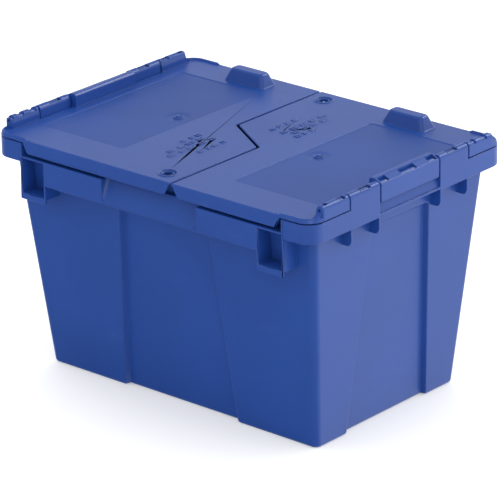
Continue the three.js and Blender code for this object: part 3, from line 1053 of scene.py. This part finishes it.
def new_material(name):
    """An empty material and its shader tree."""
    material = bpy.data.materials.new(name)
    material.use_nodes = True
    material.node_tree.nodes.clear()
    return material, material.node_tree


def smooth_box(tree, value, centre, half, soft):
    """1 where value is within half of centre, falling to 0 over soft."""
    away = maths(tree, "ABSOLUTE", maths(tree, "SUBTRACT", value, centre))
    return remap(tree, away, half - soft, half, 1.0, 0.0)


def label_mask(tree, position):
    """1 on the sunk label panels of both lids, but not round the shiny nub in the middle of each."""
    axes = add_node(tree, "ShaderNodeSeparateXYZ", None, i0=position)
    centre = (LABEL["near"] + LABEL["far"]) / 2 * MM
    half = (LABEL["far"] - LABEL["near"]) / 2 * MM
    slope = LABEL["slope"] * MM
    across = maths(tree, "ABSOLUTE", axes.outputs[0])
    in_x = smooth_box(tree, across, centre, half - slope, slope)
    in_y = smooth_box(tree, axes.outputs[1], 0.0, LABEL["half"] * MM - slope, slope)
    low = maths(tree, "LESS_THAN", axes.outputs[2], (LID_TOP + 1) * MM)
    beside = maths(tree, "SUBTRACT", across, GATE["x"] * MM)
    squares = [maths(tree, "POWER", length, 2.0) for length in (beside, axes.outputs[1])]
    from_gate = maths(tree, "SQRT", maths(tree, "ADD", *squares))
    shiny, satin = GATE["shiny"]
    off_gate = remap(tree, from_gate, shiny * MM, satin * MM, 0.0, 1.0)
    panel = maths(tree, "MULTIPLY", maths(tree, "MULTIPLY", in_x, in_y), low)
    return maths(tree, "MULTIPLY", panel, off_gate)


def plastic_material(name, colour, with_labels):
    """Satin injection-moulded polyolefin: fine grain, slow ripples, faint scuffs, and paler edges that are
    partly wear and partly a painted edge highlight.
    """
    material, tree = new_material(name)
    position = add_node(tree, "ShaderNodeTexCoord").outputs["Object"]
    grain = noise(tree, position, 2100.0, 3.0, 0.6)
    ripple = noise(tree, position, 38.0, 2.0, 0.5)
    cloud = noise(tree, position, 11.0, 3.0, 0.55)
    stretch = add_node(tree, "ShaderNodeMapping", None, Vector=position, Scale=(22.0, 260.0, 40.0),
                       Rotation=(0.2, 0.1, 0.55)).outputs[0]
    scuff = remap(tree, noise(tree, stretch, 1.0, 4.0, 0.65), 0.64, 0.78, 0.0, 1.0)

    bevel = add_node(tree, "ShaderNodeBevel", {"samples": 4}, Radius=0.7 * MM)
    geometry = add_node(tree, "ShaderNodeNewGeometry")
    facing = add_node(tree, "ShaderNodeVectorMath", {"operation": "DOT_PRODUCT"},
                      i0=bevel.outputs[0], i1=geometry.outputs["Normal"]).outputs["Value"]
    # Edges, convex and concave, are painted paler in patches: a painted edge highlight mixed with wear.
    edge = remap(tree, facing, 0.8, 0.99, 1.0, 0.0)
    patches = remap(tree, noise(tree, position, 160.0, 4.0, 0.7), 0.35, 0.75, 0.1, 1.0)
    edge_highlight_and_wear = maths(tree, "MULTIPLY", edge, patches)

    shade = remap(tree, cloud, 0.3, 0.7, 0.94, 1.06)
    grey = add_node(tree, "ShaderNodeCombineColor", None, i0=shade, i1=shade, i2=shade).outputs[0]
    tinted = mix_colours(tree, 1.0, (*colour, 1.0), grey, "MULTIPLY")
    highlit_and_worn_edges = mix_colours(tree, maths(tree, "MULTIPLY", edge_highlight_and_wear, 0.22), tinted, (*EDGE_HIGHLIGHT_AND_WEAR_BLUE, 1.0))
    scuffed = mix_colours(tree, maths(tree, "MULTIPLY", scuff, 0.05), highlit_and_worn_edges, (*SCUFF_BLUE, 1.0))

    roughness = remap(tree, grain, 0.3, 0.7, 0.33, 0.43)
    roughness = maths(tree, "ADD", roughness, maths(tree, "MULTIPLY", scuff, 0.06))
    if with_labels:
        mask = label_mask(tree, position)
        roughness = maths(tree, "ADD", roughness, maths(tree, "MULTIPLY", mask, 0.17))
    fine = add_node(tree, "ShaderNodeBump", None, Strength=0.22, Distance=0.05 * MM, Height=grain,
                    Normal=bevel.outputs[0])
    slow = add_node(tree, "ShaderNodeBump", None, Strength=0.5, Distance=0.25 * MM, Height=ripple,
                    Normal=fine.outputs[0])
    shader = add_node(tree, "ShaderNodeBsdfPrincipled", None, Base_Color=scuffed,
                      Roughness=roughness, IOR=1.5, Normal=slow.outputs[0])
    add_node(tree, "ShaderNodeOutputMaterial", None, i0=shader.outputs[0])
    return material


def steel_material():
    """Drawn, galvanised steel wire: fine lines round the rod and slightly mottled zinc."""
    material, tree = new_material("hinge_steel")
    position = add_node(tree, "ShaderNodeTexCoord").outputs["Object"]
    lines = add_node(tree, "ShaderNodeMapping", None, Vector=position, Scale=(60.0, 2600.0, 60.0)).outputs[0]
    drawn = noise(tree, lines, 1.0, 3.0, 0.6)
    mottle = noise(tree, position, 420.0, 3.0, 0.6)
    shade = remap(tree, mottle, 0.3, 0.7, 0.46, 0.62)
    colour = add_node(tree, "ShaderNodeCombineColor", None, i0=shade, i1=shade,
                      i2=maths(tree, "MULTIPLY", shade, 1.03)).outputs[0]
    roughness = remap(tree, drawn, 0.3, 0.7, 0.28, 0.45)
    bump = add_node(tree, "ShaderNodeBump", None, Strength=0.3, Distance=0.04 * MM, Height=drawn)
    shader = add_node(tree, "ShaderNodeBsdfPrincipled", None, Base_Color=colour, Metallic=1.0,
                      Roughness=roughness, Normal=bump.outputs[0])
    add_node(tree, "ShaderNodeOutputMaterial", None, i0=shader.outputs[0])
    return material


# ---- Pieces ----

SHARP_ANGLE = math.radians(33)
SMOOTHING_WEIGHT = 80


def finish_piece(solid, name, body, node, material):
    """Scales a solid to metres, smooths its shading and puts it in the place of a CAD node."""
    solid.name = name
    mesh = solid.data
    mesh.name = name
    mesh.transform(Matrix.Scale(MM, 4))
    mesh.materials.clear()
    mesh.materials.append(material)
    for polygon in mesh.polygons:
        polygon.use_smooth = True
        polygon.material_index = 0
    mesh.set_sharp_from_angle(angle=SHARP_ANGLE)
    weighted = solid.modifiers.new("weighted", "WEIGHTED_NORMAL")
    weighted.keep_sharp = True
    weighted.weight = SMOOTHING_WEIGHT
    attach(solid, body)
    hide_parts(node)
    return solid


tub_material = plastic_material("tub_plastic", TUB_BLUE, False)
lid_material = plastic_material("lid_plastic", LID_BLUE, True)
rod_material = steel_material()

finish_piece(tub(), "crate_tub", "crate", "tub", tub_material)
finish_piece(lid(LUG["y"]), "crate_right_lid", "right_lid", "right_lid", lid_material)
left_template = lid(-LUG["y"])
finish_piece(opposite(left_template), "crate_left_lid", "left_lid", "left_lid", lid_material)
bpy.data.objects.remove(left_template)
rod = hinge_rod()
finish_piece(opposite(rod), "crate_left_rod", "crate", "left_hinge_rod", rod_material)
finish_piece(rod, "crate_right_rod", "crate", "right_hinge_rod", rod_material)


# ---- Floor, light and camera ----

FLOOR_REACH = 6.0
FLOOR_GLOW = 0.25
GLINT_SIZE = 0.8
GLINT_TARGET = (0, 0, 0.2)


def build_floor():
    """A white paper floor that brightens only what the camera sees directly."""
    mesh = bpy.data.meshes.new("floor")
    reach = FLOOR_REACH
    corners = [(-reach, -reach, 0), (reach, -reach, 0), (reach, reach, 0), (-reach, reach, 0)]
    mesh.from_pydata(corners, [], [(0, 1, 2, 3)])
    floor = bpy.data.objects.new("floor", mesh)
    bpy.context.scene.collection.objects.link(floor)
    floor.visible_glossy = False
    material, tree = new_material("floor_paper")
    paths = add_node(tree, "ShaderNodeLightPath")
    paper = add_node(tree, "ShaderNodeBsdfDiffuse", None, Color=(0.9, 0.9, 0.9, 1.0))
    strength = maths(tree, "MULTIPLY", paths.outputs["Is Camera Ray"], FLOOR_GLOW)
    glow = add_node(tree, "ShaderNodeEmission", None, Strength=strength)
    shader = add_node(tree, "ShaderNodeAddShader", None, i0=paper.outputs[0], i1=glow.outputs[0])
    add_node(tree, "ShaderNodeOutputMaterial", None, i0=shader.outputs[0])
    mesh.materials.append(material)


def build_world():
    """A white studio. What shiny surfaces mirror is dark in front and overhead, and bright at the back."""
    world = bpy.data.worlds.new("studio")
    bpy.context.scene.world = world
    world.use_nodes = True
    tree = world.node_tree
    tree.nodes.clear()
    paths = add_node(tree, "ShaderNodeLightPath")
    direction = add_node(tree, "ShaderNodeTexCoord").outputs["Generated"]
    axes = add_node(tree, "ShaderNodeSeparateXYZ", None, i0=direction)
    backwards = axes.outputs[1]
    upwards = axes.outputs[2]
    ground = maths(tree, "MULTIPLY", remap(tree, backwards, -0.3, 0.3, 0.02, 1.2),
                   remap(tree, upwards, -0.55, -0.3, 0.95, 1.25))
    sky = maths(tree, "MULTIPLY", remap(tree, upwards, 0.3, 0.58, 1.0, 0.06),
                remap(tree, backwards, -0.1, 0.55, 0.03, 1.0))
    is_above = remap(tree, upwards, -0.05, 0.05, 0.0, 1.0)
    reflection = add_node(tree, "ShaderNodeMix", {"data_type": "FLOAT"}, i0=is_above, i2=ground, i3=sky)
    in_front = add_node(tree, "ShaderNodeVectorMath", {"operation": "DOT_PRODUCT"}, i0=direction,
                        i1=(-0.2, -0.75, 0.63)).outputs["Value"]
    diffuse = maths(tree, "MULTIPLY", remap(tree, in_front, 0.3, 0.95, 1.5, 1.05),
                    remap(tree, axes.outputs[0], 0.0, 1.0, 1.0, 0.88))
    strength = add_node(tree, "ShaderNodeMix", {"data_type": "FLOAT"}, i0=paths.outputs["Is Glossy Ray"],
                        i2=diffuse, i3=reflection.outputs[0]).outputs[0]
    background = add_node(tree, "ShaderNodeBackground", None, Color=(1.0, 1.0, 1.0, 1.0), Strength=strength)
    add_node(tree, "ShaderNodeOutputWorld", None, i0=background.outputs[0])


def add_glint(name, place, power):
    """A square lamp that only shows as a reflection."""
    data = bpy.data.lights.new(name, "AREA")
    data.shape = "SQUARE"
    data.size = GLINT_SIZE
    data.energy = power
    lamp = bpy.data.objects.new(name, data)
    lamp.location = place
    lamp.rotation_mode = "QUATERNION"
    lamp.rotation_quaternion = (Vector(GLINT_TARGET) - Vector(place)).to_track_quat("-Z", "Y")
    lamp.visible_diffuse = False
    lamp.visible_camera = False
    bpy.context.scene.collection.objects.link(lamp)


def build_camera():
    """A long lens, looking down on the front long side and the right-hand end."""
    azimuth = math.radians(41.2)
    elevation = math.radians(21.0)
    roll = math.radians(-1.0)
    aim_down = math.radians(0.537)
    aim_right = math.radians(0.0145)
    distance = 3.69
    focal_length = 285
    sensor_width = 36
    target = Vector((0, 0, 0.160))
    back = Vector((
        math.sin(azimuth) * math.cos(elevation),
        -math.cos(azimuth) * math.cos(elevation),
        math.sin(elevation),
    ))
    right = Vector((math.cos(azimuth), math.sin(azimuth), 0))
    up = back.cross(right)
    axis_x = right * math.cos(roll) + up * math.sin(roll)
    axis_y = up * math.cos(roll) - right * math.sin(roll)
    turn = Matrix((axis_x, axis_y, back)).transposed().to_4x4()
    turn = turn @ Matrix.Rotation(-aim_down, 4, "X") @ Matrix.Rotation(-aim_right, 4, "Y")
    data = bpy.data.cameras.new("camera")
    data.lens = focal_length
    data.sensor_width = sensor_width
    data.clip_start = 0.1
    data.clip_end = 50
    camera = bpy.data.objects.new("camera", data)
    camera.matrix_world = Matrix.Translation(target + back * distance) @ turn
    bpy.context.scene.collection.objects.link(camera)
    bpy.context.scene.camera = camera


build_floor()
build_world()
add_glint("glint_back", (0.75, 2.1, 2.1), 30)
add_glint("glint_front", (2.2, -1.7, 1.3), 15)
build_camera()
bpy.context.scene.view_settings.view_transform = "Standard"
